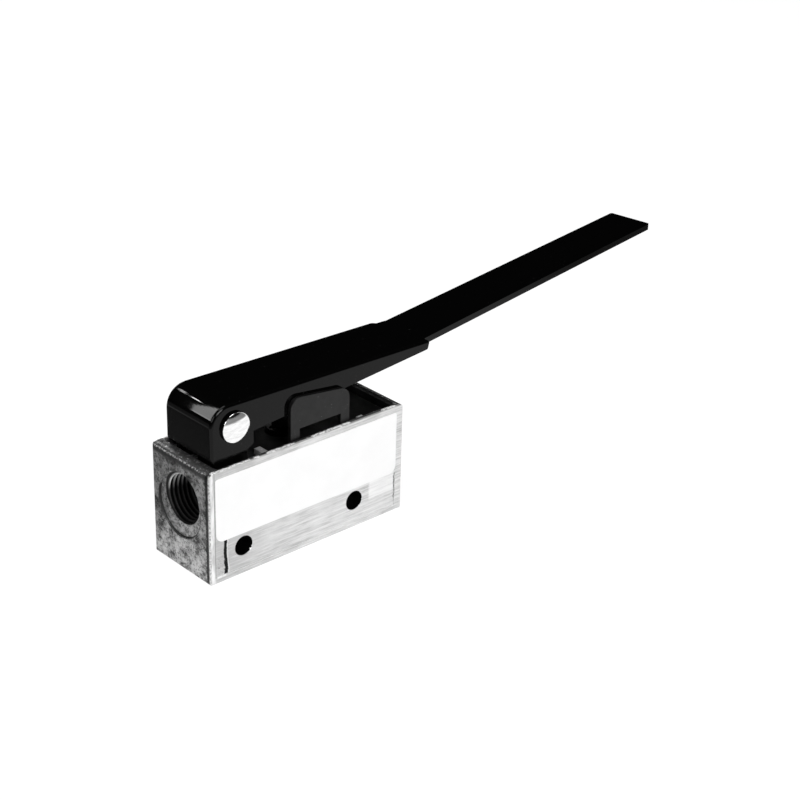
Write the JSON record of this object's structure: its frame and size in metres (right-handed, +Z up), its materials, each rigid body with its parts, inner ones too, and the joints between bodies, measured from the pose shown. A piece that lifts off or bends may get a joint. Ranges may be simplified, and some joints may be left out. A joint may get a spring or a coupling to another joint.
{
  "type": "pneumatic valve",
  "caption": "Small in-line three-way pneumatic valve with a long black spring-return hand lever, threaded end ports and two cross holes for side mounting.",
  "frame": {"origin": "centre of the body's flat underside", "axes": "+Z up out of the body towards the lever, +X along the body from the inlet port to the outlet port and the lever's free end, label on the -Y face"},
  "size_m": [0.1149, 0.0165, 0.0395],
  "materials": {
    "zinc": "satin",
    "label": "satin",
    "black_steel": "satin",
    "lever_black": "gloss",
    "rivet_steel": "polished",
    "spacer_steel": "satin",
    "spool_steel": "satin",
    "button_plastic": "satin",
    "nitrile": "matte",
    "brass": "satin",
    "bush_black": "satin",
    "spring_steel": "polished"
  },
  "bodies": {
    "housing": {"valve_body": "zinc", "face_label": "label", "bracket": "black_steel", "pivot_pin": "rivet_steel", "pivot_spacer": "spacer_steel", "sleeve": "brass", "sleeve_ring_top": "nitrile", "sleeve_ring_middle": "nitrile", "sleeve_ring_low": "nitrile", "guide_bush": "bush_black", "spring_washer": "spacer_steel", "return_spring": "spring_steel"},
    "lever": {"lever": "lever_black"},
    "plunger": {"spool": "spool_steel", "button": "button_plastic", "exhaust_ring": "nitrile", "inlet_ring": "nitrile", "balance_ring": "nitrile"}
  },
  "joints": [
    {"name": "lever_hinge", "type": "hinge", "parent": "housing", "child": "lever", "pos_m": [-0.01525, 0, 0.028], "axis": [0, 1, 0], "range_deg": [0, 5.6], "stiffness_Nm_per_rad": 0.6, "springref_deg": -8.59},
    {"name": "plunger_slide", "type": "slide", "parent": "housing", "child": "plunger", "axis": [0, 0, 1], "range_m": [-0.0015, 0], "deforming": ["return_spring"]}
  ],
  "couplings": [
    {"joint": "plunger_slide", "follows": "lever_hinge", "m_per_rad": -0.01532}
  ]
}
